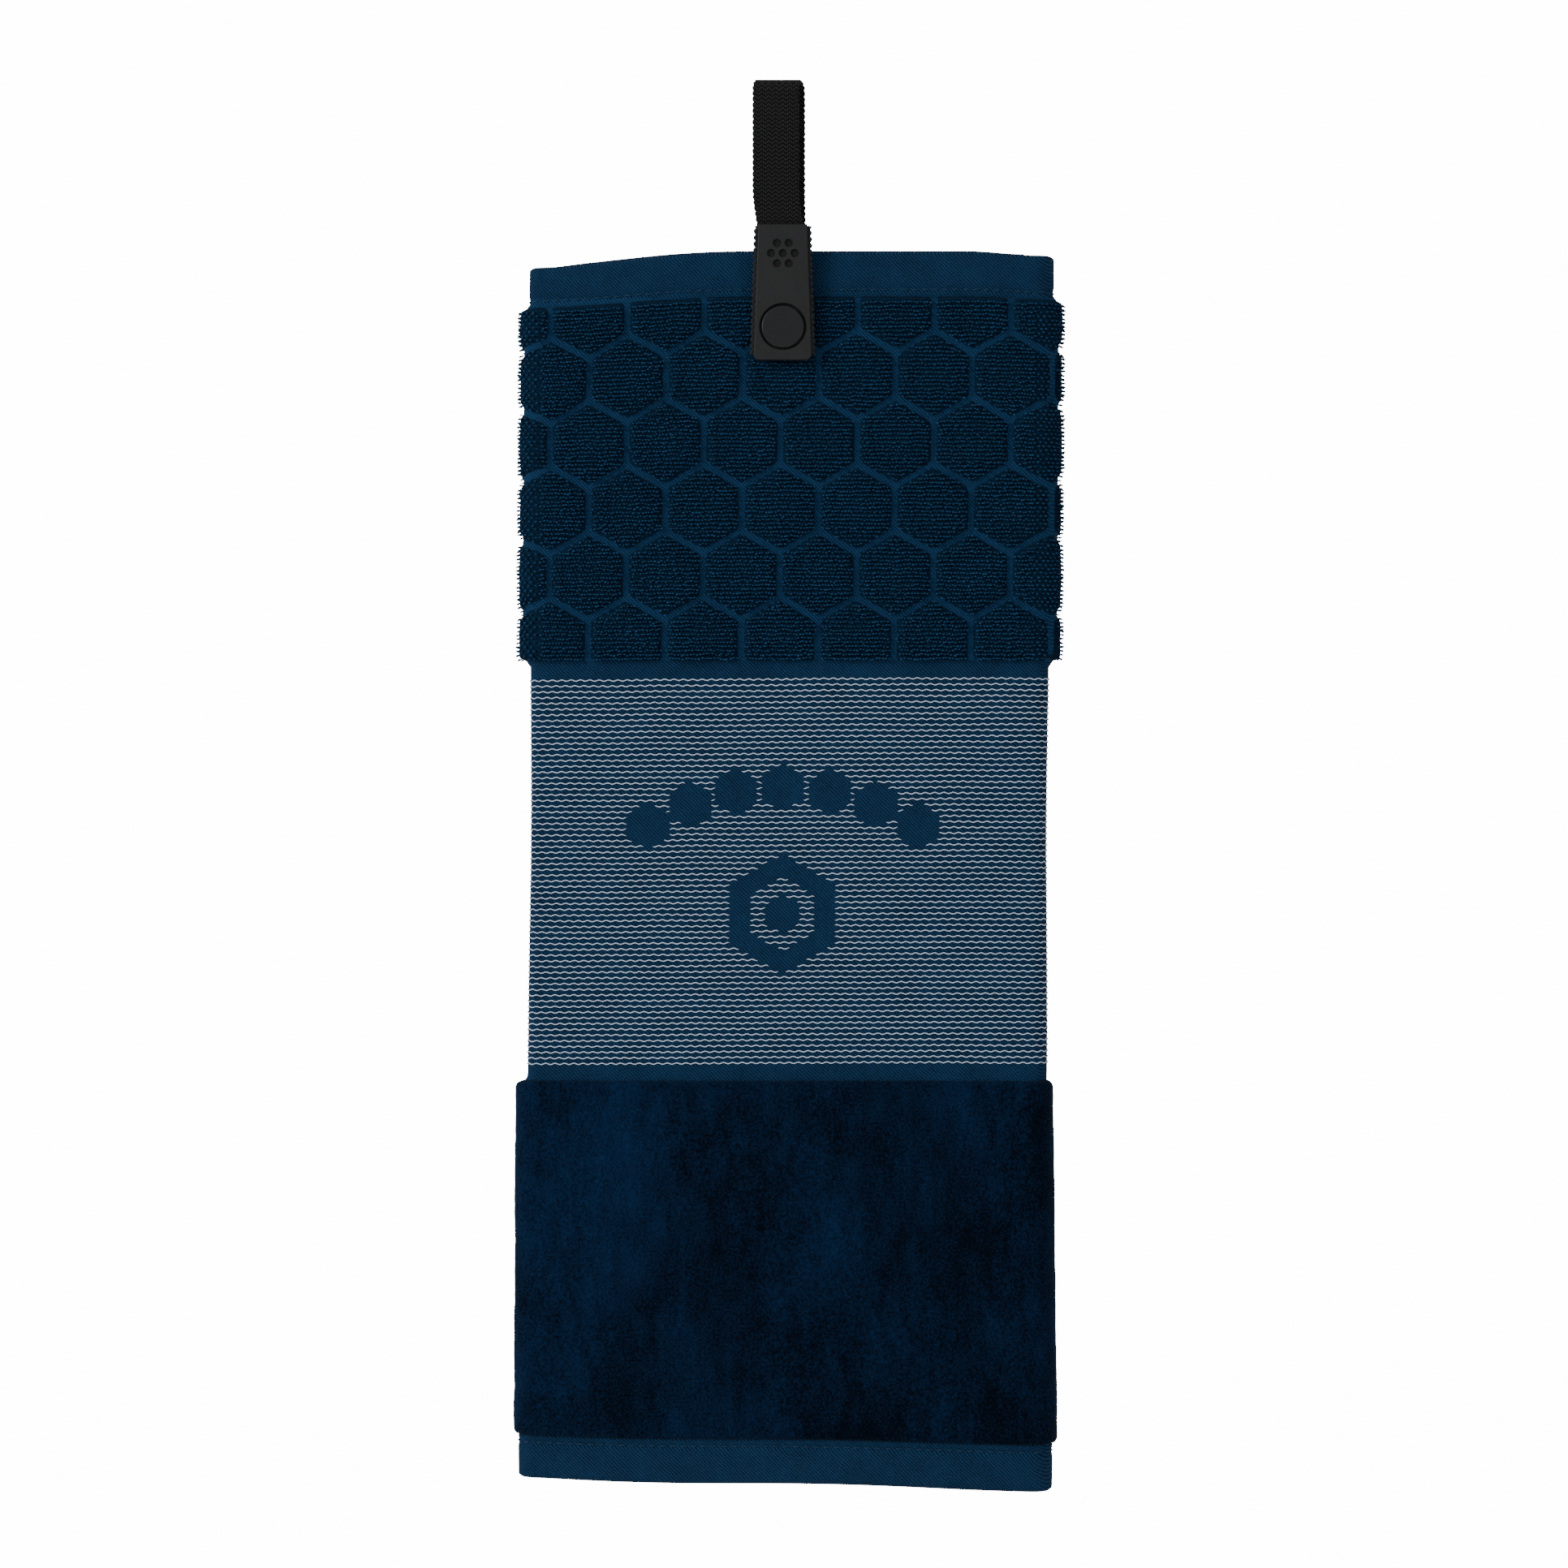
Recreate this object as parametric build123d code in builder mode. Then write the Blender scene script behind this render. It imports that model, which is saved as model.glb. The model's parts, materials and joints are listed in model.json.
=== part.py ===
from build123d import *
import os
from math import atan2, cos, degrees, floor, pi, sin, tan

os.makedirs("parts", exist_ok=True)

# Trifold golf towel: terry cloth folded in three, hung from a webbing loop.  The front leg of the
# loop ends in a moulded tab that a press snap holds to the cloth, so the loop opens over a ring.
#
# Frame, in millimetres: +Z up, the towel's front faces -Y, +X to the right seen from the front.
# The origin is the inside top of the loop, where a ring or hook bears.

# ---- cloth ----
panel_width = 174.0  # front panel from fold to fold, over bare cloth
panel_offset = 2.0  # middle of the front panel, to the right of the strap
top_hem_height = 14.5
terry_height = 120.0  # honeycomb terry
band_height = 140.4  # flat band with the pale threads
velour_height = 118.0
bottom_hem_height = 14.8
side_hem_width = 10.0
ground = 1.2  # woven ground under the pile
face_pile = 2.0  # pile on the good face
back_pile = 1.0  # shorter pile on the other face
hem_turn = 1.2  # second thickness of cloth turned behind a hem
wing_edge_gap = 1.5  # free edge of the left wing to the right fold's axis
back_edge_gap = 3.0  # free edge of the right wing to the left fold's axis
layer_gap = 0.4  # air between the two wings

# ---- honeycomb pattern ----
cell_across = 25.4  # across the flats of one cell, with its groove
groove_width = 2.4
first_cell_drop = 3.7  # hem to the middle of the first row of cells
cell_offset = -1.6  # middle of the honeycomb, to the left of the strap

# ---- pale threads of the flat band ----
thread_pitch = 1.88
thread_width = 0.8
thread_proud = 0.4
upper_plain = 5.4  # flat band above the first pale thread
lower_plain = 6.7  # and below the last

# ---- sewing ----
stitch_pitch = 3.4
stitch_length = 1.9
stitch_width = 0.4
stitch_proud = 0.25
stitch_inset = 2.2  # stitch line to the hem's inner edge

# ---- strap loop ----
web_width = 15.2
web = 1.4  # thickness of the webbing
loop_height = 56.5  # inside top of the loop to the towel's top edge
web_pile_gap = 0.6  # front webbing to the pile
rear_web_below_snap = 10.0  # rear webbing ends this far below the snap's centre
tack_rows = 3  # rows of stitches that hold the rear webbing
tack_pitch = 3.5

# ---- moulded tab ----
tab_top_width = 16.2
tab_rim = 1.85  # tab's foot beside the cap's seat, each side
tab_below_snap = 11.0  # tab's foot below the snap's centre
tab_thickness = 1.6
tab_above_edge = 9.3  # tab's top above the towel's top edge
tab_corner = 2.0
tab_edge_round = 0.4
dimple_radius = 1.35
dimple_pitch = 3.9
dimple_depth = 0.7
dimple_drop = 9.6  # tab's top to the middle dimple
tooth_pitch = 2.4
tooth_height = 1.4
tooth_reach = 1.5
tooth_thickness = 1.1
web_short = 3.0  # front webbing ends this far above the tab's foot

# ---- press snap ----
snap_drop = 24.5  # snap's centre below the towel's top edge
cap_diameter = 14.0
cap_ring_gap = 0.8
cap_thickness = 1.2
cap_sink = 0.1  # cap's face below the tab's face
cap_shank_diameter = 4.0
socket_diameter = 12.0
socket_wall = 3.2
stud_head_diameter = 4.4
stud_post_diameter = 3.6
stud_flange_diameter = 10.0
stud_flange = 0.5
eyelet_diameter = 9.6
eyelet_thickness = 0.5
rivet_diameter = 5.6
rivet_thickness = 0.4
hole_clearance = 0.2  # round a post or shank, on the radius
snap_clearance = 0.35  # between the halves of the snap
eyelet_wing_gap = 0.7  # rivet to the pile of the left wing

# ---- places that follow from the sizes ----
seat_radius = cap_diameter / 2 + cap_ring_gap
tab_bottom_width = 2 * (seat_radius + tab_rim)
tab_height = tab_above_edge + snap_drop + tab_below_snap
loop_gap = ground / 2 + hem_turn + ground / 2 + face_pile + web_pile_gap
y_ground = loop_gap / 2 - hem_turn - ground / 2  # mid-plane of the front panel's ground
y_web_front = -loop_gap / 2  # inner face of the front webbing
y_web_rear = loop_gap / 2  # inner face of the rear webbing
y_rivet = y_web_rear + web + eyelet_thickness + rivet_thickness
y_left = y_rivet + eyelet_wing_gap + back_pile + ground / 2  # mid-plane of the left wing
y_right = y_left + ground + face_pile + layer_gap + back_pile  # mid-plane of the right wing
left_radius = (y_left - y_ground) / 2
right_radius = (y_right - y_ground) / 2
x_left_axis = panel_offset - panel_width / 2 + left_radius + ground / 2
x_right_axis = panel_offset + panel_width / 2 - right_radius - ground / 2
x_left_edge = x_right_axis - wing_edge_gap  # free edge of the left wing
x_right_edge = x_left_axis + back_edge_gap  # free edge of the right wing

z_top = -loop_height
z_terry = z_top - top_hem_height
z_band = z_terry - terry_height
z_velour = z_band - band_height
z_bottom_hem = z_velour - velour_height
z_bottom = z_bottom_hem - bottom_hem_height

z_crown = -loop_gap / 2  # centre of the loop's round top
z_snap = z_top - snap_drop
z_tab_top = z_top + tab_above_edge
z_tab_foot = z_tab_top - tab_height
y_tab_back = y_web_front - web
y_tab_face = y_tab_back - tab_thickness
y_snap_seat = y_ground - ground / 2 - stud_flange  # front of the stud's flange

written = []


def keep(part, name):
    """Label a finished part and write it as one STEP file."""
    part.label = name
    export_step(part, f"parts/{name}.step")
    written.append(name)


def slab(x0, x1, y0, y1, z0, z1):
    """A box between two corners, added to the part being built."""
    with Locations(((x0 + x1) / 2, (y0 + y1) / 2, (z0 + z1) / 2)):
        Box(x1 - x0, y1 - y0, z1 - z0)


class Panel:
    """One third of the towel: where it starts and ends, and which way its good face looks."""

    def __init__(self, name, x0, x1, y_mid, faces, free_edge=0):
        self.name = name
        self.x0 = x0
        self.x1 = x1
        self.y_mid = y_mid
        self.faces = faces  # -1 looks to the front, +1 to the back
        self.free_edge = free_edge  # side of the side hem: -1, 0 for none, or +1

    def y(self, height):
        """Height above the ground's mid-plane, towards the good face, as a Y."""
        return self.y_mid + self.faces * height

    def body_span(self):
        """The panel without its side hem, in X."""
        x0 = self.x0 + (side_hem_width if self.free_edge < 0 else 0)
        x1 = self.x1 - (side_hem_width if self.free_edge > 0 else 0)
        return x0, x1

    def layer(self, x0, x1, low, high, z0, z1):
        """A slab of this panel between two heights above its mid-plane."""
        ys = sorted((self.y(low), self.y(high)))
        slab(x0, x1, ys[0], ys[1], z0, z1)


centre = Panel("centre", x_left_axis, x_right_axis, y_ground, -1)
left_wing = Panel("left_wing", x_left_axis, x_left_edge, y_left, 1, free_edge=1)
right_wing = Panel("right_wing", x_right_edge, x_right_axis, y_right, 1, free_edge=-1)
panels = (centre, left_wing, right_wing)

face_height = ground / 2 + face_pile
back_height = -ground / 2 - back_pile
hem_back = -ground / 2 - hem_turn


def y_hole(radius, x, z, y0, y1):
    """A round hole along Y through the part being built."""
    with BuildSketch(Plane.XZ.offset(-y0)) as outline:
        with Locations((x, z)):
            Circle(radius)
    extrude(outline.sketch, amount=-(y1 - y0), mode=Mode.SUBTRACT)


def y_disc(radius, x, z, y0, y1):
    """A round disc along Y, added to the part being built."""
    with BuildSketch(Plane.XZ.offset(-y0)) as outline:
        with Locations((x, z)):
            Circle(radius)
    extrude(outline.sketch, amount=-(y1 - y0))


# ---- honeycomb terry: hexagonal islands of pile on a flat backing ----
cell_side = cell_across / 3**0.5
island_side = (cell_across - groove_width) / 3**0.5
row_pitch = 1.5 * cell_side


def island_centres(x0, x1, z0, z1):
    """Centres of the cells that reach into a stretch of cloth."""
    rows = floor((z1 - z0) / row_pitch) + 2
    columns = floor(max(abs(x0), abs(x1)) / cell_across) + 2
    for row in range(rows):
        z = z1 - first_cell_drop - row * row_pitch
        shift = 0 if row % 2 else cell_across / 2
        for column in range(-columns, columns + 1):
            x = column * cell_across + shift + cell_offset
            inside_x = x0 - cell_across / 2 < x < x1 + cell_across / 2
            if inside_x and z > z0 - cell_side:
                yield x, z


def honeycomb(panel):
    """The terry zone of one panel."""
    x0, x1 = panel.body_span()
    with BuildPart() as zone:
        panel.layer(x0, x1, back_height, ground / 2, z_band, z_terry)
        front = Plane(origin=(0, panel.y(ground / 2), 0), x_dir=(1, 0, 0), z_dir=(0, panel.faces, 0))
        with BuildSketch(front):
            up = 1 if panel.faces < 0 else -1
            cells = list(island_centres(x0, x1, z_band, z_terry))
            with Locations(*[(x, up * z) for x, z in cells]):
                RegularPolygon(island_side, 6, rotation=90)
            with Locations(((x0 + x1) / 2, up * (z_band + z_terry) / 2)):
                Rectangle(x1 - x0, terry_height, mode=Mode.INTERSECT)
        extrude(amount=face_pile)
        if panel is centre:
            y_hole(stud_post_diameter / 2 + hole_clearance, 0, z_snap, y_ground - ground, y_web_rear)
            clear = socket_diameter / 2 + 2 * snap_clearance
            y_hole(clear, 0, z_snap, panel.y(face_height), panel.y(ground / 2))
    return zone.part


def flat_zone(panel, low, high, z0, z1, full_width=False):
    """A plain zone of one panel between two heights above the mid-plane."""
    x0, x1 = (panel.x0, panel.x1) if full_width else panel.body_span()
    with BuildPart() as zone:
        panel.layer(x0, x1, low, high, z0, z1)
    return zone.part


def stitch_line(panel, centres, length, width):
    """A run of stitches on a panel's good face, each length by width in X and Z."""
    y = panel.y(ground / 2 + stitch_proud / 2)
    with Locations(*[(x, y, z) for x, z in centres]):
        Box(length, stitch_proud, width)


def along(start, end, pitch):
    """Evenly pitched places, centred between two ends."""
    count = floor((end - start) / pitch)
    first = (start + end) / 2 - (count - 1) * pitch / 2
    return [first + i * pitch for i in range(count)]


def pale_threads(panel):
    """The pale threads that float on the flat band."""
    x0, x1 = panel.body_span()
    y = panel.y(ground / 2 + thread_proud / 2)
    rows = along(z_velour + lower_plain, z_band - upper_plain, thread_pitch)
    with BuildPart() as threads:
        with Locations(*[((x0 + x1) / 2, y, z) for z in rows]):
            Box(x1 - x0, thread_proud, thread_width)
    return threads.part


for panel in panels:
    keep(flat_zone(panel, hem_back, ground / 2, z_terry, z_top, True), f"{panel.name}_top_hem")
    keep(honeycomb(panel), f"{panel.name}_honeycomb_terry")
    keep(flat_zone(panel, -ground / 2, ground / 2, z_velour, z_band), f"{panel.name}_flat_band")
    keep(pale_threads(panel), f"{panel.name}_pale_threads")
    keep(flat_zone(panel, back_height, face_height, z_bottom_hem, z_velour), f"{panel.name}_velour")
    keep(
        flat_zone(panel, hem_back, ground / 2, z_bottom, z_bottom_hem, True),
        f"{panel.name}_bottom_hem",
    )
    hem_lines = (z_terry + stitch_inset, z_bottom_hem - stitch_inset)
    across = along(panel.x0, panel.x1, stitch_pitch)
    with BuildPart() as hem_stitching:
        stitch_line(panel, [(x, z) for z in hem_lines for x in across], stitch_length, stitch_width)
    keep(hem_stitching.part, f"{panel.name}_hem_stitching")
    if panel.free_edge:
        edge = panel.x1 if panel.free_edge > 0 else panel.x0
        inner = edge - panel.free_edge * side_hem_width
        with BuildPart() as side_hem:
            side = sorted((edge, inner))
            panel.layer(side[0], side[1], hem_back, ground / 2, z_bottom_hem, z_terry)
        keep(side_hem.part, f"{panel.name}_side_hem")
        line = inner + panel.free_edge * stitch_inset
        down = along(z_bottom_hem, z_terry, stitch_pitch)
        with BuildPart() as side_stitching:
            stitch_line(panel, [(line, z) for z in down], stitch_width, stitch_length)
        keep(side_stitching.part, f"{panel.name}_side_stitching")


# ---- folds: the cloth's turn from the front panel to a wing ----
def fold(x_axis, radius, side):
    """A half tube of cloth about a fold's axis; side is -1 at the left and +1 at the right."""
    zones = (
        (z_terry, top_hem_height, hem_back, ground / 2),
        (z_band, terry_height, back_height, face_height),
        (z_velour, band_height, -ground / 2, ground / 2),
        (z_bottom_hem, velour_height, back_height, face_height),
        (z_bottom, bottom_hem_height, hem_back, ground / 2),
    )
    middle = y_ground + radius
    with BuildPart() as turn:
        for z0, height, low, high in zones:
            with BuildSketch(Plane.XY.offset(z0)):
                with Locations((x_axis, middle)):
                    Circle(radius + high)
                    Circle(radius + low, mode=Mode.SUBTRACT)
                reach = radius + face_height
                with Locations((x_axis + side * reach / 2, middle)):
                    Rectangle(reach, 2 * reach, mode=Mode.INTERSECT)
            extrude(amount=height)
    return turn.part


keep(fold(x_left_axis, left_radius, -1), "left_fold")
keep(fold(x_right_axis, right_radius, 1), "right_fold")

# ---- webbing of the loop ----
z_web_foot = z_snap - rear_web_below_snap
with BuildPart() as rear_webbing:
    slab(-web_width / 2, web_width / 2, y_web_rear, y_web_rear + web, z_web_foot, z_crown)
    y_hole(stud_post_diameter / 2 + hole_clearance, 0, z_snap, y_web_rear, y_web_rear + web)
keep(rear_webbing.part, "strap_rear_webbing")

with BuildPart() as crown:
    with BuildSketch(Plane.YZ.offset(-web_width / 2)):
        with Locations((0, z_crown)):
            Circle(loop_gap / 2 + web)
            Circle(loop_gap / 2, mode=Mode.SUBTRACT)
        with Locations((0, z_crown + loop_gap)):
            Rectangle(3 * loop_gap, 2 * loop_gap, mode=Mode.INTERSECT)
    extrude(amount=web_width)
keep(crown.part, "strap_crown")

z_front_foot = z_tab_foot + web_short
with BuildPart() as front_webbing:
    slab(-web_width / 2, web_width / 2, y_tab_back, y_web_front, z_front_foot, z_crown)
    y_hole(cap_shank_diameter / 2 + hole_clearance, 0, z_snap, y_tab_back, y_web_front)
keep(front_webbing.part, "strap_front_webbing")

tack_columns = floor(web_width / stitch_pitch)
z_tack = z_top - top_hem_height / 2
with BuildPart() as anchor_stitching:
    with BuildSketch(Plane.XZ.offset(-(y_web_rear + web)).shift_origin((0, y_web_rear + web, z_tack))):
        with GridLocations(stitch_pitch, tack_pitch, tack_columns, tack_rows):
            Rectangle(stitch_length, stitch_width)
    extrude(amount=-stitch_proud)
keep(anchor_stitching.part, "strap_anchor_stitching")

# ---- moulded tab ----
seat_floor = y_tab_face + cap_sink + cap_thickness
with BuildPart() as tab:
    with BuildSketch(Plane.XZ.offset(-y_tab_back)):
        with BuildLine():
            Polyline(
                (-tab_top_width / 2, z_tab_top),
                (tab_top_width / 2, z_tab_top),
                (tab_bottom_width / 2, z_tab_foot),
                (-tab_bottom_width / 2, z_tab_foot),
                close=True,
            )
        make_face()
        fillet(vertices().group_by(Axis.Y)[0], tab_corner)
    extrude(amount=tab_thickness)
    fillet(faces().sort_by(Axis.Y)[0].edges(), tab_edge_round)
    y_hole(seat_radius, 0, z_snap, y_tab_face, seat_floor)
    y_hole(cap_shank_diameter / 2 + hole_clearance, 0, z_snap, seat_floor, y_tab_back)
    with BuildSketch(Plane.XZ.offset(-y_tab_face)):
        with Locations((0, z_tab_top - dimple_drop)):
            Circle(dimple_radius)
            with PolarLocations(dimple_pitch, 6):
                Circle(dimple_radius)
    extrude(amount=-dimple_depth, mode=Mode.SUBTRACT)
keep(tab.part, "tab_rubber")

# teeth of thread oversewn along the tab's slanting sides
side_lean = atan2((tab_bottom_width - tab_top_width) / 2, tab_height)
teeth_span = tab_height - 2 * tab_corner
teeth = floor(teeth_span / tooth_pitch)
with BuildPart() as tab_edge_stitching:
    for side in (-1, 1):
        for i in range(teeth):
            drop = tab_corner + (i + 0.5) * teeth_span / teeth
            half_width = tab_top_width / 2 + drop * tan(side_lean)
            x = side * (half_width + tooth_reach / 2 * cos(side_lean))
            z = z_tab_top - drop + tooth_reach / 2 * sin(side_lean)
            turned = (0, -side * degrees(side_lean), 0)
            with Locations(Location((x, y_tab_back - tooth_thickness / 2, z), turned)):
                Box(tooth_reach, tooth_thickness, tooth_height)
keep(tab_edge_stitching.part, "tab_edge_stitching")

# ---- press snap ----
y_socket_back = y_snap_seat - snap_clearance
y_shank_end = y_web_front
with BuildPart() as cap:
    y_disc(cap_diameter / 2, 0, z_snap, y_tab_face + cap_sink, seat_floor)
    fillet(faces().sort_by(Axis.Y)[0].edges(), tab_edge_round)
    y_disc(cap_shank_diameter / 2, 0, z_snap, seat_floor, y_shank_end)
keep(cap.part, "snap_cap")

with BuildPart() as socket:
    y_disc(socket_diameter / 2, 0, z_snap, y_web_front, y_socket_back)
    y_hole(socket_diameter / 2 - socket_wall, 0, z_snap, y_web_front, y_socket_back)
keep(socket.part, "snap_socket")

with BuildPart() as stud:
    y_disc(stud_head_diameter / 2, 0, z_snap, y_web_front + snap_clearance, y_snap_seat)
    y_disc(stud_flange_diameter / 2, 0, z_snap, y_snap_seat, y_ground - ground / 2)
    y_disc(stud_post_diameter / 2, 0, z_snap, y_ground - ground / 2, y_rivet - rivet_thickness)
    y_disc(rivet_diameter / 2, 0, z_snap, y_rivet - rivet_thickness, y_rivet)
keep(stud.part, "snap_stud")

with BuildPart() as eyelet:
    y_disc(eyelet_diameter / 2, 0, z_snap, y_web_rear + web, y_rivet - rivet_thickness)
    y_hole(stud_post_diameter / 2 + hole_clearance, 0, z_snap, y_web_rear + web, y_rivet)
keep(eyelet.part, "snap_eyelet")

# ---- facts for the record ----
flat_width = (centre.x1 - centre.x0) + (left_wing.x1 - left_wing.x0)
flat_width += (right_wing.x1 - right_wing.x0) + pi * (left_radius + right_radius)
print("nodes", len(written))
print("flat width", round(flat_width, 1), "length", round(z_top - z_bottom, 1))
print("left axis", round(x_left_axis, 3), round(y_ground + left_radius, 3))
print("right axis", round(x_right_axis, 3), round(y_ground + right_radius, 3))
print("crown centre", round(z_crown, 3), "loop gap", round(loop_gap, 3))
print("ground planes", round(y_ground, 3), round(y_left, 3), round(y_right, 3))
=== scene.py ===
import json
import math

import bmesh
import bpy
import numpy as np
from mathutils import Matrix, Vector


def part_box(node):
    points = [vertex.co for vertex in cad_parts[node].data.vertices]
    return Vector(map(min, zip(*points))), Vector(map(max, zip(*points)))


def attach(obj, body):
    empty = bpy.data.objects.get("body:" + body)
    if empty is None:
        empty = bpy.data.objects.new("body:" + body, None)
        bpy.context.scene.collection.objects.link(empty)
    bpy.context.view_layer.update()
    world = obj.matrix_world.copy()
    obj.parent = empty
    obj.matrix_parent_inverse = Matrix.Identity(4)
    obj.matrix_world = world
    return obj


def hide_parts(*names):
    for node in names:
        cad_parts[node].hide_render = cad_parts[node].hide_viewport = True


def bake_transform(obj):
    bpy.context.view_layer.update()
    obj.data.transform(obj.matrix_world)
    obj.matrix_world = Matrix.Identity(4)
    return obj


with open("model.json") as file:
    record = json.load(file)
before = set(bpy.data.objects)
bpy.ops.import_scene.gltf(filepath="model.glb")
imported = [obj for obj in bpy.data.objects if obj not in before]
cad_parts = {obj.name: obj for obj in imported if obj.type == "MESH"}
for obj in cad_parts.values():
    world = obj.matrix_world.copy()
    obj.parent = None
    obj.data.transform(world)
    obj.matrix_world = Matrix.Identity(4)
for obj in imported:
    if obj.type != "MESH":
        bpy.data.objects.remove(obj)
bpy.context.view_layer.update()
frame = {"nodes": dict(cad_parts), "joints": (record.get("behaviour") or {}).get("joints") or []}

MM = 0.001
TAU = 2 * math.pi

# ---------------------------------------------------------------- sizes taken from the frame


def joint(name):
    """A joint's pivot as an array."""
    return np.array(next(j["pos_m"] for j in frame["joints"] if j["name"] == name))


def middle(node, axis):
    low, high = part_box(node)
    return (low[axis] + high[axis]) / 2


Z_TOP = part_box("centre_top_hem")[1].z
Z_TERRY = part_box("centre_top_hem")[0].z
Z_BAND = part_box("centre_honeycomb_terry")[0].z
Z_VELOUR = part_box("centre_flat_band")[0].z
Z_BOTTOM_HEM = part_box("centre_velour")[0].z
Z_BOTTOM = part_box("centre_bottom_hem")[0].z
X_LEFT, X_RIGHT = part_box("centre_top_hem")[0].x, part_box("centre_top_hem")[1].x
GROUND = (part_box("centre_flat_band")[1].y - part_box("centre_flat_band")[0].y) / 2
Y_CENTRE = middle("centre_flat_band", 1)
FACE = Y_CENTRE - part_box("centre_velour")[0].y
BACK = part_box("centre_velour")[1].y - Y_CENTRE
HEM_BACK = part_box("centre_top_hem")[1].y - Y_CENTRE
LEFT_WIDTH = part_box("left_wing_top_hem")[1].x - X_LEFT
RIGHT_WIDTH = X_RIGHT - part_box("right_wing_top_hem")[0].x
SIDE_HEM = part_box("left_wing_side_hem")[1].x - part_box("left_wing_side_hem")[0].x
SNAP = np.array([middle("snap_stud", 0), middle("snap_stud", 2)])

# ---------------------------------------------------------------- sizes of the cloth's own detail
CELL = 25.4 * MM  # honeycomb, across the flats
GROOVE = 2.4 * MM
FIRST_CELL = 3.7 * MM  # middle of the first row of cells, below the top hem
CELL_OFFSET = -1.6 * MM
ROW_PITCH = CELL * math.sqrt(3) / 2
BED_STEP = 1.15 * MM
BED_SUNK = 0.25 * MM  # the bed's foot, below the ground cloth's face
BED_RISE = 1.35 * MM
BED_CROWN = 0.25 * MM
LOOP_FOOT = 0.55 * MM  # the loops' feet over the ground cloth at an island's edge
LOOP_CLIMB = 0.55 * MM  # and how much higher they stand further in
LOOP_ROW = 1.35 * MM
LOOP_STEP = 1.05 * MM
LOOP_THINNING = {"left_wing": 1.5, "right_wing": 1.25}  # wings that lie behind, mostly hidden
SOCKET_CLEAR = 6.8 * MM  # round spot with no pile, under the snap

THREAD_PITCH = 1.88 * MM
THREAD_WAVE = 3.1 * MM
THREAD_SWAY = 0.24 * MM
THREAD_HALF = 0.2 * MM
THREAD_PROUD = 0.5 * MM
THREAD_SUNK = 0.12 * MM
THREAD_END = 0.15  # share of its thickness where a thread ducks under
UPPER_PLAIN = 5.4 * MM  # flat band left plain above and below the pale threads
LOWER_PLAIN = 6.0 * MM

NAP_OVER = 1.3 * MM  # how far the velour's top edge leans over the band
NAP_ROUND = 2.2 * MM  # how far in from its edges the velour reaches its full height
NAP_SUNK = 0.2 * MM
NAP_PROUD = 0.1 * MM  # the full nap, over the velour's plain face
NAP_RAGGED = 0.35 * MM
FOLD_SPREAD = 1.05  # a fold's width laid flat, over its plain half tube's
FOLD_COLUMNS = 19

STITCH_PITCH = 3.4 * MM
STITCH_INSET = 2.2 * MM
HEM_ROUND = 1.3 * MM
HEM_PUFF = 0.22 * MM
STITCH_DENT = 0.35 * MM

WEAVE_PITCH = 1.35 * MM  # webbing, along the strap
WALE_WIDTH = 1.15 * MM  # webbing, one arm of the herringbone
SELVAGE_PITCH = 1.9 * MM
SELVAGE_ROUND = 0.45 * MM
SELVAGE_WAVE = 0.4 * MM
STRAP_STEP = 0.33 * MM
STRAP_RELIEF = 0.13 * MM
RIB_PITCH = 1.6 * MM  # webbing, where it is stretched over the top
REAR_LEAN, FRONT_LEAN = -0.3 * MM, -2.3 * MM  # how far the two legs lean sideways above the towel
BEAD_PITCH = 2.1 * MM  # beads of the tab's oversewn edge
BEAD = 0.8 * MM
TAB_TOP_HALF = 8.1 * MM

# ---------------------------------------------------------------- sizes of the drape
SKEW = 1.1 * MM  # the front leans right at its top and left at its foot
RIDE_UP = 1.1 * MM  # how far the wings' tops stand over the front's
WAVE = 0.45 * MM  # hanging cloth waves to the front and the back
TOP_LIFT, LEFT_DROP, RIGHT_DROP = 1.0 * MM, 5.2 * MM, 1.1 * MM  # top edge: its middle and its corners
FOOT_TILT, FOOT_WAVE = 2.0 * MM, 0.5 * MM
TERRY_FULL, VELOUR_FULL = 1.9 * MM, 1.6 * MM  # the folds' fullness where the cloth is piled
VELOUR_TAPER = 2.1 * MM  # fullness that the right fold loses on the way up the velour
WAIST, WAIST_MORE = 0.6 * MM, 0.7 * MM  # the folds' drawing in along the flat band, and at its middle


# ---------------------------------------------------------------- how the cloth lies


def ease(t):
    t = np.clip(t, 0, 1)
    return t * t * (3 - 2 * t)


def bulge(z, side):
    """How far the folds stand out past a plain half tube: more at the pile, less at the waist."""
    def between(low, high):
        step = 3 * MM
        return ease((z - low) / step + 0.5) * ease((high - z) / step + 0.5)

    height = np.clip((z - Z_BOTTOM_HEM) / (Z_VELOUR - Z_BOTTOM_HEM), 0, 1)
    fullness = VELOUR_FULL - VELOUR_TAPER * height * (side > 0)
    piled = between(Z_BAND, Z_TERRY) * TERRY_FULL
    piled = piled + between(Z_BOTTOM_HEM, Z_VELOUR + NAP_OVER) * fullness
    foot = between(Z_BOTTOM - 9 * MM, Z_BOTTOM_HEM) * VELOUR_FULL
    from_waist = (z - (Z_BAND * 0.62 + Z_VELOUR * 0.38)) / (45 * MM)
    drawn = (WAIST + WAIST_MORE * np.exp(-(from_waist ** 2))) * between(Z_VELOUR, Z_BAND)
    return piled + foot - drawn


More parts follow.
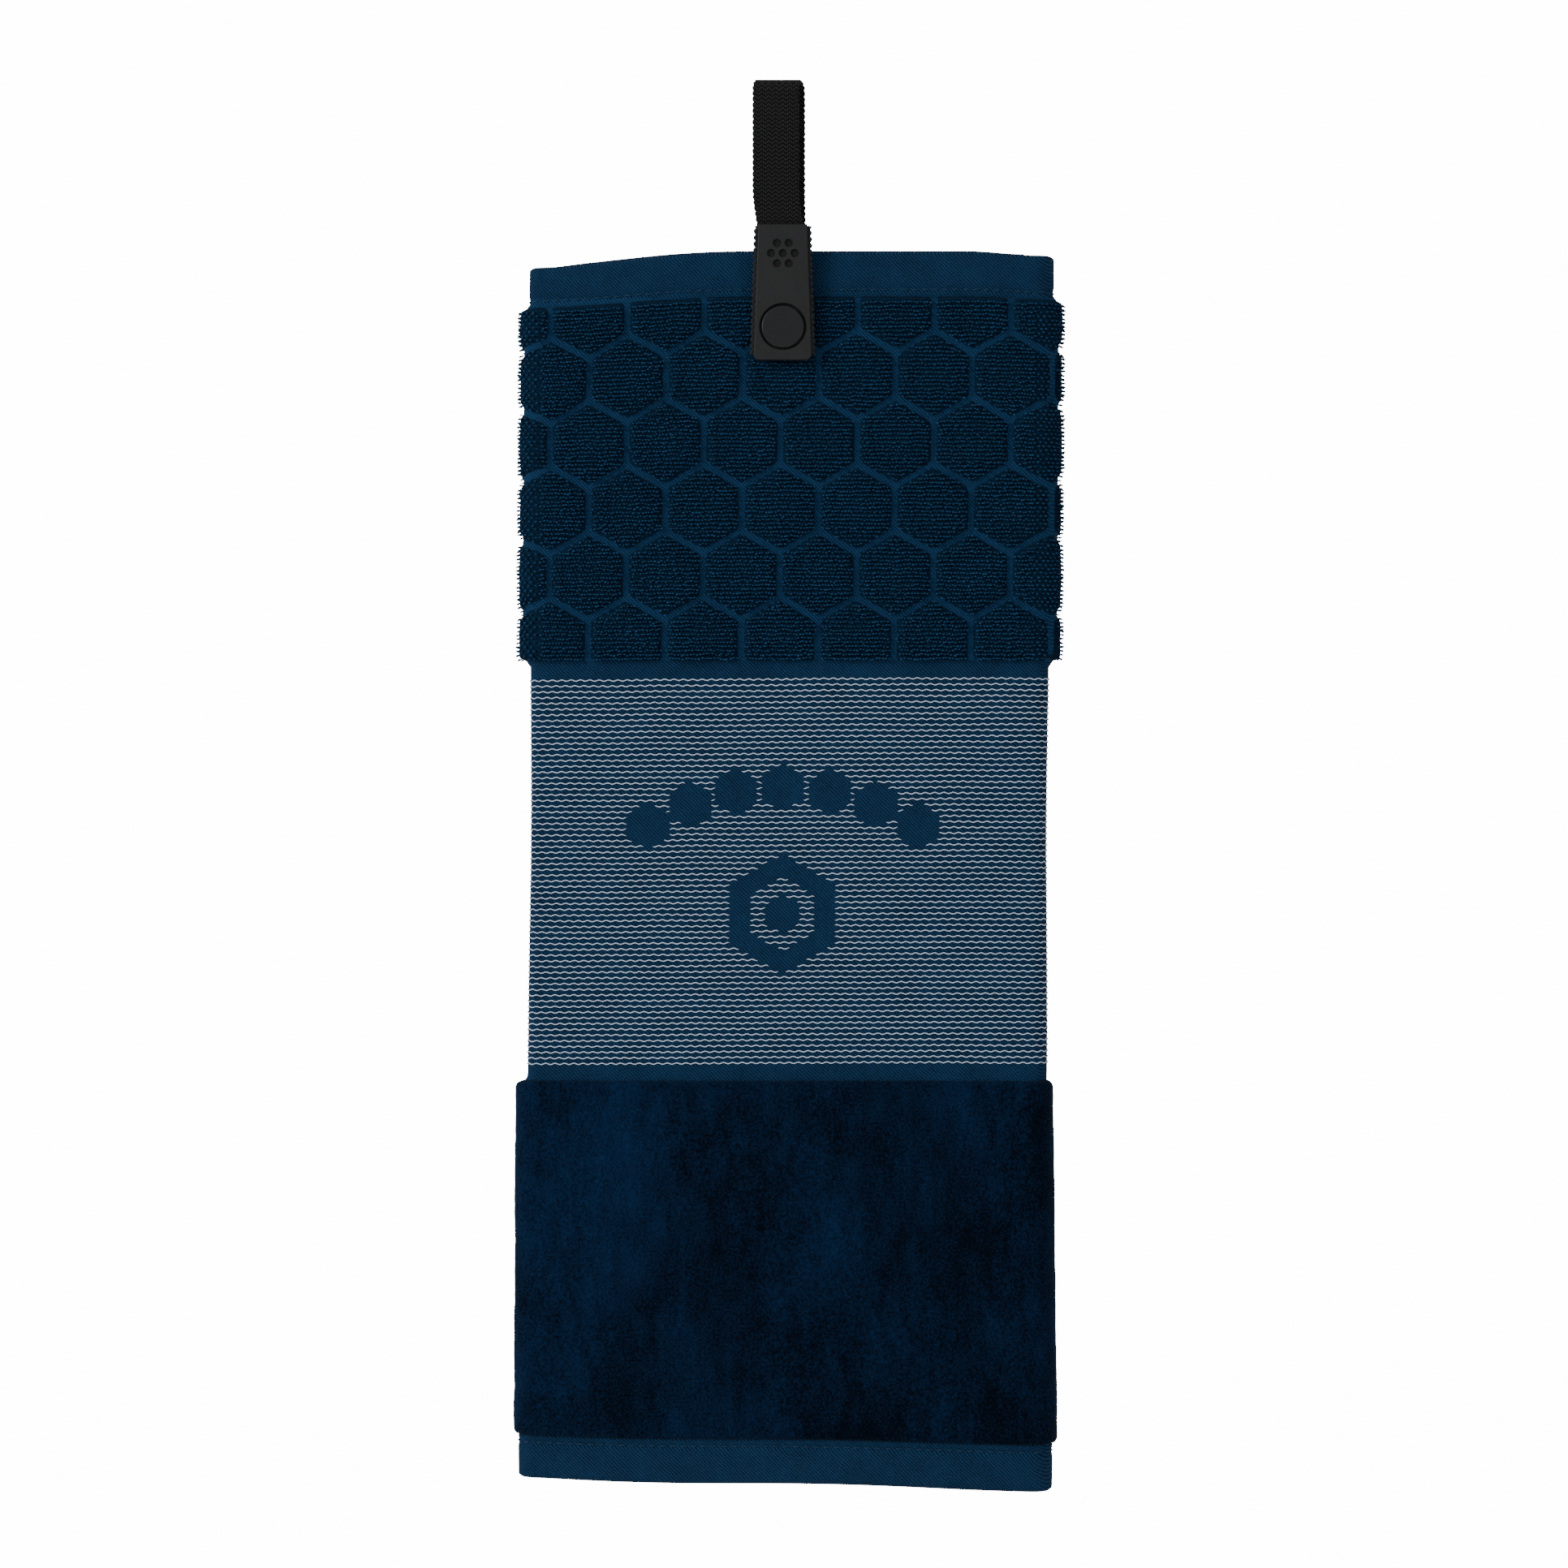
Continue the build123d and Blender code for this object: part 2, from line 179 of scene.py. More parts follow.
def settle(p, skew=1.0):
    """The small sags and waves of hanging cloth, the same for every layer so that none meet."""
    x, z = p[:, 0], p[:, 2]
    across = (x - (X_LEFT + X_RIGHT) / 2) / ((X_RIGHT - X_LEFT) / 2)
    near_top = np.exp(-np.maximum(Z_TOP - z, 0) / (45 * MM))
    near_foot = np.exp(-np.maximum(z - Z_BOTTOM, 0) / (40 * MM))
    out = p.copy()
    out[:, 0] += SKEW * (2 * (z - Z_BOTTOM) / (Z_TOP - Z_BOTTOM) - 1) * skew
    drop = LEFT_DROP * ease(-across - 0.05) ** 1.5 + RIGHT_DROP * ease((across - 0.75) / 0.25)
    out[:, 2] += (TOP_LIFT - drop) * near_top
    out[:, 2] += (FOOT_WAVE * np.sin(across * 4.2 + 0.6) - FOOT_TILT * across) * near_foot
    window = np.cos(np.clip(across, -1, 1) * math.pi / 2) ** 0.5
    window = window * ease((Z_TOP - 55 * MM - z) / (60 * MM))
    wave = 0.6 * np.sin(across * 5.1 + z * 21) + 0.4 * np.sin(across * 2.3 - z * 34 + 1.0)
    out[:, 1] += WAVE * window * wave
    return out


class Cloth:
    """A stretch of the towel: the front panel, a fold or a wing. s runs from the front panel
    outwards, z is the height, and h is the height above the cloth's mid-plane on its good side."""

    def __init__(self, name, kind, side=0, axis=None, width=0.0):
        self.name, self.kind, self.side, self.axis = name, kind, side, axis
        self.radius = axis[1] - Y_CENTRE if side else 0.0
        self.turn = math.pi * self.radius
        self.s0, self.s1 = {
            "panel": (X_LEFT, X_RIGHT),
            "fold": (0.0, self.turn),
            "wing": (self.turn, self.turn + width),
        }[kind]
        self.hem = SIDE_HEM if kind == "wing" else 0.0
        self.inner = self.s1 - self.hem  # where the pile and the pale threads end

    def place(self, s, z, h):
        """Points and the horizontal angle of the surface's normal."""
        s, z, h = np.broadcast_arrays(np.asarray(s, float), z, h)
        if not self.side:
            p = np.stack([s, Y_CENTRE - h, z], -1)
            return settle(p.reshape(-1, 3)), np.zeros(s.size)
        phi = np.clip(s / self.radius, 0, math.pi)
        flat = np.maximum(s - self.turn, 0)
        reach = self.radius + h
        x = self.axis[0] + self.side * ((reach + bulge(z, self.side)) * np.sin(phi) - flat)
        y = self.axis[1] - reach * np.cos(phi)
        ride_up = RIDE_UP * ease(s / (self.turn + 20 * MM)) * np.exp((z - Z_TOP) / (25 * MM))
        p = np.stack([x, y, z + ride_up], -1).reshape(-1, 3)
        skew = 1 - 2 * ease(2 * phi / math.pi - 1)  # turned over on a wing, so that it opens in line
        return settle(p, skew.reshape(-1)), (self.side * phi).reshape(-1)

    def pattern_x(self, s):
        """Where a point of this cloth lies along the flat towel, for patterns that cross folds."""
        if not self.side:
            return s
        return (X_RIGHT if self.side > 0 else X_LEFT) + self.side * s

    def columns(self, step):
        """Places along s, up to the side hem if there is one: finer round a fold."""
        count = FOLD_COLUMNS if self.kind == "fold" else int((self.inner - self.s0) / step)
        return np.linspace(self.s0, self.inner, count)

    def attach(self, obj, *nodes):
        """Let a finished piece on a panel or a wing follow this stretch of the towel and stand
        in for some nodes; a piece on a fold is only baked where it lies: a fold is one node, which its
        ground cloth replaces."""
        if self.kind == "fold":
            reach = self.radius * 0.97
            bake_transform(obj)
        else:
            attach(obj, self.name if self.side else "towel")
            if nodes:
                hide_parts(*nodes)
        return obj


LEFT_AXIS, RIGHT_AXIS = joint("left_wing_fold"), joint("right_wing_fold")
CLOTHS = (
    Cloth("centre", "panel"),
    Cloth("left_fold", "fold", -1, LEFT_AXIS),
    Cloth("right_fold", "fold", 1, RIGHT_AXIS),
    Cloth("left_wing", "wing", -1, LEFT_AXIS, LEFT_WIDTH),
    Cloth("right_wing", "wing", 1, RIGHT_AXIS, RIGHT_WIDTH),
)

# ---------------------------------------------------------------- mesh helpers


def in_scene(name, data):
    """A new object of a mesh, a lamp or a camera."""
    obj = bpy.data.objects.new(name, data)
    bpy.context.scene.collection.objects.link(obj)
    return obj


def smooth_mesh(name, verts, faces):
    mesh = bpy.data.meshes.new(name)
    mesh.from_pydata(np.asarray(verts).tolist(), [], faces)
    mesh.shade_smooth()
    return mesh


def new_object(name, verts, faces, material):
    """A piece made of rows of faces that all have as many corners, sharp where it turns steeply."""
    mesh = smooth_mesh(name, verts, np.asarray(faces).tolist())
    mesh.validate()
    mesh.set_sharp_from_angle(angle=math.radians(60))
    mesh.materials.append(material)
    return in_scene(name, mesh)


def outward(obj):
    """Turn every face of a closed piece outwards."""
    work = bmesh.new()
    work.from_mesh(obj.data)
    bmesh.ops.recalc_face_normals(work, faces=work.faces)
    work.to_mesh(obj.data)
    work.free()
    return obj


def slab(name, cloth, s, z, top, bottom, material):
    """A closed layer of cloth over a grid of s and z, between two height fields."""
    ns, nz = len(s), len(z)
    grid_s, grid_z = np.meshgrid(s, z)
    upper, _ = cloth.place(grid_s, grid_z, top)
    lower, _ = cloth.place(grid_s, grid_z, bottom)
    verts = np.concatenate([upper, lower])
    i = np.arange(ns * nz).reshape(nz, ns)
    a, b, c, d = i[:-1, :-1], i[:-1, 1:], i[1:, 1:], i[1:, :-1]
    sheet = np.stack([a, b, c, d], -1).reshape(-1, 4)
    rim = np.concatenate([i[0, :], i[1:, -1], i[-1, -2::-1], i[-2:0:-1, 0]])
    after = np.roll(rim, -1)
    n = ns * nz
    wall = np.stack([rim, rim + n, after + n, after], -1)
    faces = np.concatenate([sheet, sheet[:, ::-1] + n, wall])
    return outward(new_object(name, verts, faces, material))


def steps(z, *marks):
    """Rows from z downwards: each mark is a lower z, and the spacing of the rows down to it."""
    out = [np.array([z])]
    for low, spacing in marks:
        count = max(int(round((z - low) / spacing)), 1)
        out.append(np.linspace(z, low, count + 1)[1:])
        z = low
    return np.concatenate(out)


def hash_noise(x, z, size, seed):
    """Smooth noise from -1 to 1 with features of the given size."""
    side = 64
    table = np.random.default_rng(seed).uniform(-1, 1, (side, side))
    u, v = x / size, z / size
    iu, iv = np.floor(u).astype(int), np.floor(v).astype(int)
    fu, fv = ease(u - iu), ease(v - iv)

    def at(a, b):
        return table[a % side, b % side]

    low = at(iu, iv) * (1 - fu) + at(iu + 1, iv) * fu
    high = at(iu, iv + 1) * (1 - fu) + at(iu + 1, iv + 1) * fu
    return low * (1 - fv) + high * fv


# ---------------------------------------------------------------- shader helper


class Field:
    """A shader socket that can be added, multiplied and so on."""

    def __init__(self, shader, socket):
        self.shader, self.socket = shader, socket

    def __add__(self, other):
        return self.shader.math("ADD", self, other)

    def __sub__(self, other):
        return self.shader.math("SUBTRACT", self, other)

    def __rsub__(self, other):
        return self.shader.math("SUBTRACT", other, self)

    def __mul__(self, other):
        return self.shader.math("MULTIPLY", self, other)

    __radd__, __rmul__ = __add__, __mul__


class Shader:
    """One material with its nodes."""

    def __init__(self, name, roughness=0.9, specular=0.2, **constants):
        self.material = bpy.data.materials.new(name)
        self.material.use_nodes = True
        self.tree = self.material.node_tree
        self.base = self.tree.nodes["Principled BSDF"]
        self.set(Roughness=roughness, **{"Specular IOR Level": specular}, **constants)
        self.places = self.tree.nodes.new("ShaderNodeTexCoord")

    def set(self, **values):
        """Feed the surface's sockets."""
        for key, value in values.items():
            self._feed(self.base.inputs[key.replace("_", " ")], value)

    def _feed(self, socket, value):
        if isinstance(value, Field):
            self.tree.links.new(value.socket, socket)
        else:
            socket.default_value = value

    def node(self, kind, settings=None, output=0, **values):
        """A node of any kind: its settings first, then its sockets' values or links."""
        made = self.tree.nodes.new("ShaderNode" + kind)
        for key, value in (settings or {}).items():
            setattr(made, key, value)
        for key, value in values.items():
            at = int(key[1:]) if key[0] == "i" and key[1:].isdigit() else key.replace("_", " ")
            self._feed(made.inputs[at], value)
        return Field(self, made.outputs[output])

    def math(self, operation, a, b=0.0):
        return self.node("Math", {"operation": operation}, i0=a, i1=b)

    def sine(self, a):
        return self.math("SINE", a)

    def clamp(self, a):
        return self.node("Clamp", Value=a)

    def spot(self):
        """Object coordinates."""
        return Field(self, self.places.outputs["Object"])

    def uv(self):
        return Field(self, self.places.outputs["UV"])

    def xyz(self, vector):
        parts = self.tree.nodes.new("ShaderNodeSeparateXYZ")
        self._feed(parts.inputs[0], vector)
        return [Field(self, parts.outputs[i]) for i in range(3)]

    def stretched(self, vector, scale):
        return self.node("Mapping", Vector=vector, Scale=scale)

    def noise(self, vector, scale, detail=2.0, rough=0.5):
        return self.node("TexNoise", Vector=vector, Scale=scale, Detail=detail, Roughness=rough)

    def mix(self, share, a, b):
        made = self.tree.nodes.new("ShaderNodeMix")
        made.data_type = "RGBA"
        self._feed(made.inputs[0], share)
        self._feed(made.inputs[6], a)
        self._feed(made.inputs[7], b)
        return Field(self, made.outputs[2])

    def bump(self, height, distance, strength=1.0):
        made = self.node("Bump", Strength=strength, Distance=distance, Height=height)
        self.set(Normal=made)


def shade(r, g, b):
    """A colour given in 8-bit display values, as linear light."""
    def linear(c):
        c = c / 255
        return c / 12.92 if c <= 0.04045 else ((c + 0.055) / 1.055) ** 2.4

    return (linear(r), linear(g), linear(b), 1.0)


# ---------------------------------------------------------------- materials
WHITE_GLOW = 14.0  # what the camera sees as white, whatever the view transform does


def flat_weave_material():
    """Navy twill: fine diagonal cords, uneven yarn, and painted light in the grooves, where the pile
    shades it.
    """
    m = Shader("navy_twill", roughness=0.95, specular=0.08)
    x, y, z = m.xyz(m.spot())
    warp = m.noise(m.spot(), 160.0, 2.0) * (1.2 * MM)
    cords = m.sine((x - y + z + warp) * (TAU / (1.25 * MM))) * 0.5 + 0.5
    picks = m.sine((x * 0.25 - z) * (TAU / (0.9 * MM))) * 0.5 + 0.5
    patch = m.noise(m.spot(), 90.0, 4.0, 0.6)
    grain = m.noise(m.spot(), 1500.0, 2.0, 0.7)
    # painted light: the twill is lightened in the terry band, that is in its grooves, where the pile's
    # shade falls
    painted_groove_light = m.math("LESS_THAN", z, Z_TERRY) * m.math("GREATER_THAN", z, Z_BAND)
    share = m.clamp(cords * 0.45 + patch * 0.4 + grain * 0.6 - 0.3 + painted_groove_light * 0.16)
    m.set(Base_Color=m.mix(share, shade(0, 9, 22), shade(23, 58, 92)))
    m.bump(cords * 0.9 + picks * 0.3 + grain * 0.7, 0.32 * MM, 1.0)
    return m.material


def terry_material():
    """Looped yarn, with painted shade that darkens each loop towards its roots."""
    m = Shader("navy_terry", roughness=1.0, specular=0.08)
    # rise is the height share up each loop: painted shade darkens the loops towards their roots
    rise = m.node("Attribute", {"attribute_name": "rise"}, output=2)
    patch = m.noise(m.spot(), 70.0, 3.0, 0.6)
    loop = m.noise(m.spot(), 900.0, 1.0)
    share = m.clamp(rise * 0.5 + patch * 0.4 + loop * 0.9 - 0.5)
    m.set(Base_Color=m.mix(share, shade(3, 15, 30), shade(32, 70, 105)))
    fibre = m.noise(m.stretched(m.spot(), (1, 1, 2.2)), 2600.0, 2.0, 0.7)
    m.bump(fibre, 0.12 * MM, 0.7)
    return m.material


def pile_bed_material():
    """The dense bed that the loops stand in: fine rows, darker than the loops as painted shade deep in
    the pile.
    """
    m = Shader("navy_pile_bed", roughness=1.0, specular=0.06)
    x, _, z = m.xyz(m.spot())
    rows = m.sine(z * (TAU / LOOP_ROW)) * 0.5 + 0.5
    speck = m.noise(m.spot(), 800.0, 2.0, 0.6)
    share = m.clamp(rows * 0.3 + speck * 0.9 - 0.25)
    # painted shade: the bed's colours are darker than the loops', for the shade deep in the pile
    m.set(Base_Color=m.mix(share, shade(2, 14, 27), shade(11, 37, 60)))
    m.bump(rows * 0.5 + speck, 0.5 * MM, 0.9)
    return m.material


def velour_material():
    """Sheared pile: very dark, mottled by uneven nap and painted sheen where it lies over, with
    painted light towards the left and the top.
    """
    m = Shader("navy_velour", roughness=1.0, specular=0.05)
    m.set(Sheen_Weight=0.04, Sheen_Roughness=0.45, Sheen_Tint=(0.25, 0.5, 0.8, 1))
    # the mottle is uneven nap and painted sheen where the nap lies over
    streaks = m.noise(m.stretched(m.spot(), (1.5, 1.0, 0.6)), 130.0, 6.0, 0.66)
    broad = m.noise(m.stretched(m.spot(), (1.0, 1.0, 0.75)), 24.0, 3.0, 0.55)
    fine = m.noise(m.spot(), 1300.0, 2.0, 0.7)
    x, _, z = m.xyz(m.spot())
    # lit: a painted light gradient, lighter to the left and the top
    lit = z * 1.1 - x * 1.1 - 1.1 * (Z_VELOUR * 0.7 + Z_BOTTOM_HEM * 0.3)
    share = m.clamp((streaks * 0.6 + broad * 0.8 + fine * 1.2 - 1.08) * 1.6 + lit)
    m.set(Base_Color=m.mix(share, shade(0, 4, 13), shade(7, 30, 58)))
    m.bump(fine * 0.9 + streaks * 0.9, 0.6 * MM, 0.9)
    return m.material


def yarn_material(name, dark, light, twist=0.55 * MM, specular=0.2):
    """Twisted yarn or sewing thread."""
    m = Shader(name, roughness=0.85, specular=specular)
    x, y, z = m.xyz(m.spot())
    ply = m.sine((x + z * 1.3 + y * 0.7) * (TAU / twist)) * 0.5 + 0.5
    lint = m.noise(m.spot(), 1700.0, 2.0, 0.6)
    m.set(Base_Color=m.mix(m.clamp(ply * 0.45 + lint * 0.8 - 0.15), dark, light))
    m.bump(ply + lint * 0.6, 0.09 * MM, 0.8)
    return m.material


def webbing_material():
    """Black webbing in a herringbone, with painted highlights on its crests over uneven yarn; UV is in
    metres, across and along.
    """
    m = Shader("black_webbing", roughness=0.8, specular=0.16)
    across, along, _ = m.xyz(m.uv())
    wale = m.math("PINGPONG", across + 0.1, WALE_WIDTH)
    bone = m.sine((along + wale * 0.9) * (TAU / WEAVE_PITCH)) * 0.5 + 0.5
    yarn = m.sine(across * (TAU / (0.72 * MM))) * 0.5 + 0.5
    lint = m.noise(m.uv(), 1600.0, 3.0, 0.7)
    # painted highlights: the crests of the herringbone and of the yarn are lighter in the colour
    share = m.clamp(bone * 1.2 + lint * 0.9 + yarn * 0.5 - 1.3)
    m.set(Base_Color=m.mix(share, shade(0, 0, 0), shade(41, 42, 43)))
    m.bump(bone * 0.9 + yarn * 0.35 + lint * 0.5, 0.3 * MM, 1.0)
    return m.material


def rubber_material():
    """Matt moulded rubber with a fine spark-eroded grain, and painted shade, near black, in its
    debossed mark.
    """
    m = Shader("charcoal_rubber", roughness=0.6, specular=0.2)
    grain = m.noise(m.spot(), 2600.0, 3.0, 0.6)
    cloud = m.noise(m.spot(), 120.0, 3.0, 0.5)
    _, y, _ = m.xyz(m.spot())
    # painted shade: deeper than 0.3 mm, in the debossed mark, the rubber is painted near black
    deboss_shade = m.clamp((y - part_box("tab_rubber")[0].y - 0.3 * MM) * 4000.0)
    worn = m.mix(cloud, shade(17, 18, 19), shade(25, 26, 27))
    m.set(Base_Color=m.mix(deboss_shade, worn, shade(5, 5, 6)))
    m.set(Roughness=grain * 0.2 + 0.48)
    m.bump(grain, 0.09 * MM, 0.8)
    return m.material


def enamel_material():
    """Satin enamel of the snap's cap, scuffed by use."""
    m = Shader("black_enamel", roughness=0.4, specular=0.25)
    scuff = m.noise(m.stretched(m.spot(), (1, 1, 6)), 420.0, 4.0, 0.65)
    m.set(Base_Color=m.mix(scuff, shade(8, 10, 12), shade(19, 21, 24)))
    m.set(Roughness=scuff * 0.25 + 0.28)
    m.bump(scuff, 0.02 * MM, 0.4)
    return m.material


def metal_material():
    """Blackened brass of the snap's hidden halves."""
    m = Shader("blackened_brass", roughness=0.4, specular=0.5, Metallic=0.85)
    wear = m.noise(m.spot(), 500.0, 4.0, 0.6)
    m.set(Base_Color=m.mix(m.clamp(wear * 2 - 0.6), shade(38, 36, 34), shade(96, 88, 76)))
    m.set(Roughness=wear * 0.3 + 0.28)
    return m.material


def backdrop_material():
    """White paper that is pure white where it is seen, and plain paper to everything it lights."""
    m = Shader("studio_paper", roughness=1.0, specular=0.0)
    seen = m.node("LightPath")
    m.set(Base_Color=(0.95, 0.95, 0.95, 1), Emission_Color=m.mix(seen, (0, 0, 0, 1), (1, 1, 1, 1)))
    m.set(Emission_Strength=WHITE_GLOW)
    return m.material


TWILL = flat_weave_material()
TERRY = terry_material()
PILE_BED = pile_bed_material()
VELOUR = velour_material()
PALE = yarn_material("pale_yarn", shade(122, 139, 163), shade(222, 233, 247))
BLUE = yarn_material("blue_thread", shade(6, 27, 46), shade(24, 56, 84), 0.5 * MM)
BLACK = yarn_material("black_thread", shade(6, 8, 9), shade(36, 39, 42), 0.7 * MM, 0.15)
WEBBING = webbing_material()
RUBBER = rubber_material()
ENAMEL = enamel_material()
METAL = metal_material()

# ---------------------------------------------------------------- Geometry Nodes: copies on places


def scatter_tree():
    """Copies of one shape on the vertices of a mesh, turned and sized by the mesh's own attributes."""
    tree = bpy.data.node_groups.new("copies_on_places", "GeometryNodeTree")
    inputs = (("Places", "Geometry"), ("Shape", "Object"), ("Finish", "Material"),
              ("Smallest", "Float"), ("Largest", "Float"), ("Wobble", "Float"), ("Seed", "Int"))
    for name, kind in inputs:
        tree.interface.new_socket(name, in_out="INPUT", socket_type="NodeSocket" + kind)
    tree.interface.new_socket("Copies", in_out="OUTPUT", socket_type="NodeSocketGeometry")

    def node(kind, **settings):
        n = tree.nodes.new(kind)
        for key, value in settings.items():
            setattr(n, key, value)
        return n

    given = node("NodeGroupInput")
    out = node("NodeGroupOutput")
    link = tree.links.new
    shape = node("GeometryNodeObjectInfo")
    link(given.outputs["Shape"], shape.inputs["Object"])
    turn = node("GeometryNodeInputNamedAttribute", data_type="FLOAT_VECTOR")
    size = node("GeometryNodeInputNamedAttribute", data_type="FLOAT_VECTOR")
    turn.inputs["Name"].default_value = "turn"
    size.inputs["Name"].default_value = "size"
    spread = node("FunctionNodeRandomValue", data_type="FLOAT")
    link(given.outputs["Smallest"], spread.inputs[2])
    link(given.outputs["Largest"], spread.inputs[3])
    link(given.outputs["Seed"], spread.inputs["Seed"])
    scaled = node("ShaderNodeVectorMath", operation="SCALE")
    link(size.outputs[0], scaled.inputs[0])
    link(spread.outputs[1], scaled.inputs["Scale"])
    shake = node("FunctionNodeRandomValue", data_type="FLOAT_VECTOR")
    shake.inputs[0].default_value = (-1, -1, -1)
    shake.inputs[1].default_value = (1, 1, 1)
    link(given.outputs["Seed"], shake.inputs["Seed"])
    shaken = node("ShaderNodeVectorMath", operation="SCALE")
    link(shake.outputs[0], shaken.inputs[0])
    link(given.outputs["Wobble"], shaken.inputs["Scale"])
    turned = node("ShaderNodeVectorMath", operation="ADD")
    link(turn.outputs[0], turned.inputs[0])
    link(shaken.outputs[0], turned.inputs[1])
    copies = node("GeometryNodeInstanceOnPoints")
    link(given.outputs["Places"], copies.inputs["Points"])
    link(shape.outputs["Geometry"], copies.inputs["Instance"])
    link(turned.outputs[0], copies.inputs["Rotation"])
    link(scaled.outputs[0], copies.inputs["Scale"])
    real = node("GeometryNodeRealizeInstances")
    link(copies.outputs[0], real.inputs[0])
    finish = node("GeometryNodeSetMaterial")
    link(real.outputs[0], finish.inputs["Geometry"])
    link(given.outputs["Finish"], finish.inputs["Material"])
    link(finish.outputs[0], out.inputs["Copies"])
    return tree


SCATTER = scatter_tree()


def scatter(name, points, turns, sizes, shape, material, spread, wobble, seed):
    """A plain mesh of copies of a shape, one at each point, of sizes within a spread."""
    places = bpy.data.meshes.new(name + "_places")
    places.from_pydata(np.asarray(points).tolist(), [], [])
    sizes = np.broadcast_to(np.asarray(sizes, float), (len(points), 3))
    for key, rows in (("turn", turns), ("size", sizes)):
        attribute = places.attributes.new(key, "FLOAT_VECTOR", "POINT")
        attribute.data.foreach_set("vector", np.ascontiguousarray(rows, np.float32).ravel())
    holder = in_scene(name + "_holder", places)
    modifier = holder.modifiers.new("copies", "NODES")
    modifier.node_group = SCATTER
    given = {"Shape": shape, "Finish": material, "Smallest": spread[0], "Largest": spread[1]}
    given.update({"Wobble": wobble, "Seed": seed})
    for item in SCATTER.interface.items_tree:
        if item.in_out == "INPUT" and item.name in given:
            modifier[item.identifier] = given[item.name]
    graph = bpy.context.evaluated_depsgraph_get()
    mesh = bpy.data.meshes.new_from_object(holder.evaluated_get(graph), depsgraph=graph)
    bpy.data.objects.remove(holder)
    mesh.name = name
    return in_scene(name, mesh)


def ring_faces(count, sides):
    """The wall over a row of rings of points, and the two ends that close it."""
    faces = []
    for i in range(count - 1):
        for k in range(sides):
            a, b = i * sides + k, i * sides + (k + 1) % sides
            faces.append((a, b, b + sides, a + sides))
    return faces + [tuple(range(sides))[::-1], tuple(range((count - 1) * sides, count * sides))]


def tube(path, radii, sides):
    """Rings round a path of points in one plane (local x and z), closed at both ends."""
    path = np.asarray(path, float)
    tangent = np.gradient(path, axis=0)
    tangent /= np.linalg.norm(tangent, axis=1)[:, None]
    across = np.array([0.0, 1.0, 0.0])
    out = np.cross(tangent, across)
    angle = TAU * np.arange(sides) / sides
    ring = np.cos(angle)[None, :, None] * out[:, None] + np.sin(angle)[None, :, None] * across
    verts = path[:, None] + ring * np.asarray(radii, float)[:, None, None]
    return verts.reshape(-1, 3), ring_faces(len(path), sides)


def shape_object(name, verts, faces, rise=None):
    """A small shape for scatter, kept out of the scene."""
    mesh = smooth_mesh(name, verts, faces)
    if rise is not None:
        attribute = mesh.attributes.new("rise", "FLOAT", "POINT")
        attribute.data.foreach_set("value", np.asarray(rise, np.float32))
    return bpy.data.objects.new(name, mesh)


def arch_shape(name, width, height, thickness, sections, sides):
    """An arch of yarn standing on its two feet."""
    t = np.linspace(0, 1, sections + 1)
    x = -width / 2 * np.cos(t * math.pi)
    z = height * np.sin(t * math.pi) ** 0.7
    path = np.stack([x, 0 * x, z], -1)
    radii = thickness / 2 * (0.85 + 0.3 * np.sin(t * math.pi))
    verts, faces = tube(path, radii, sides)
    # rise, the height share up the arch, carries the terry's painted shade at the roots
    return shape_object(name, verts, faces, np.clip(verts[:, 2] / height, 0, 1))


def stitch_shape(name, length, width, proud):
    """A stitch: a thread that rises out of the cloth and dips back."""
    t = np.linspace(0, 1, 7)
    x = (t - 0.5) * length
    z = proud * (np.sin(t * math.pi) ** 0.6) - 0.3 * width
    radii = width / 2 * np.array([0.55, 0.95, 1, 1, 1, 0.95, 0.55])
    verts, faces = tube(np.stack([x, 0 * x, z], -1), radii, 6)
    return shape_object(name, verts, faces)


LOOP = arch_shape("loop_shape", 0.5 * MM, 1.05 * MM, 0.7 * MM, 4, 3)
STITCH = stitch_shape("stitch_shape", 2.1 * MM, 0.52 * MM, 0.28 * MM)

# ---------------------------------------------------------------- honeycomb


def hexagon(x, z):
    """Size, half across the flats, of the hexagon about the origin that a point lies on."""
    dx, dz = np.abs(x), np.abs(z)
    return np.maximum(dx, dx * 0.5 + dz * math.sqrt(3) / 2)


def island(x, z):
    """How far a point lies inside its cell's island: metres, negative in a groove."""
    x = x - CELL_OFFSET
    best = np.full(np.shape(x), -1.0)
    for row_shift in (0, 1):
        row = np.round((Z_TERRY - FIRST_CELL - z) / ROW_PITCH / 2 - row_shift / 2) * 2 + row_shift
        cz = Z_TERRY - FIRST_CELL - row * ROW_PITCH
        half_cell = (1 - row_shift) / 2
        cx = (np.round(x / CELL - half_cell) + half_cell) * CELL
        best = np.maximum(best, (CELL - GROOVE) / 2 - hexagon(x - cx, z - cz))
    return best


def snap_clear(s, z, cloth):
    """Distance outside the round clearing under the snap."""
    if cloth.side:
        return np.full(np.shape(s), 1.0)
    return np.hypot(s - SNAP[0], z - SNAP[1]) - SOCKET_CLEAR


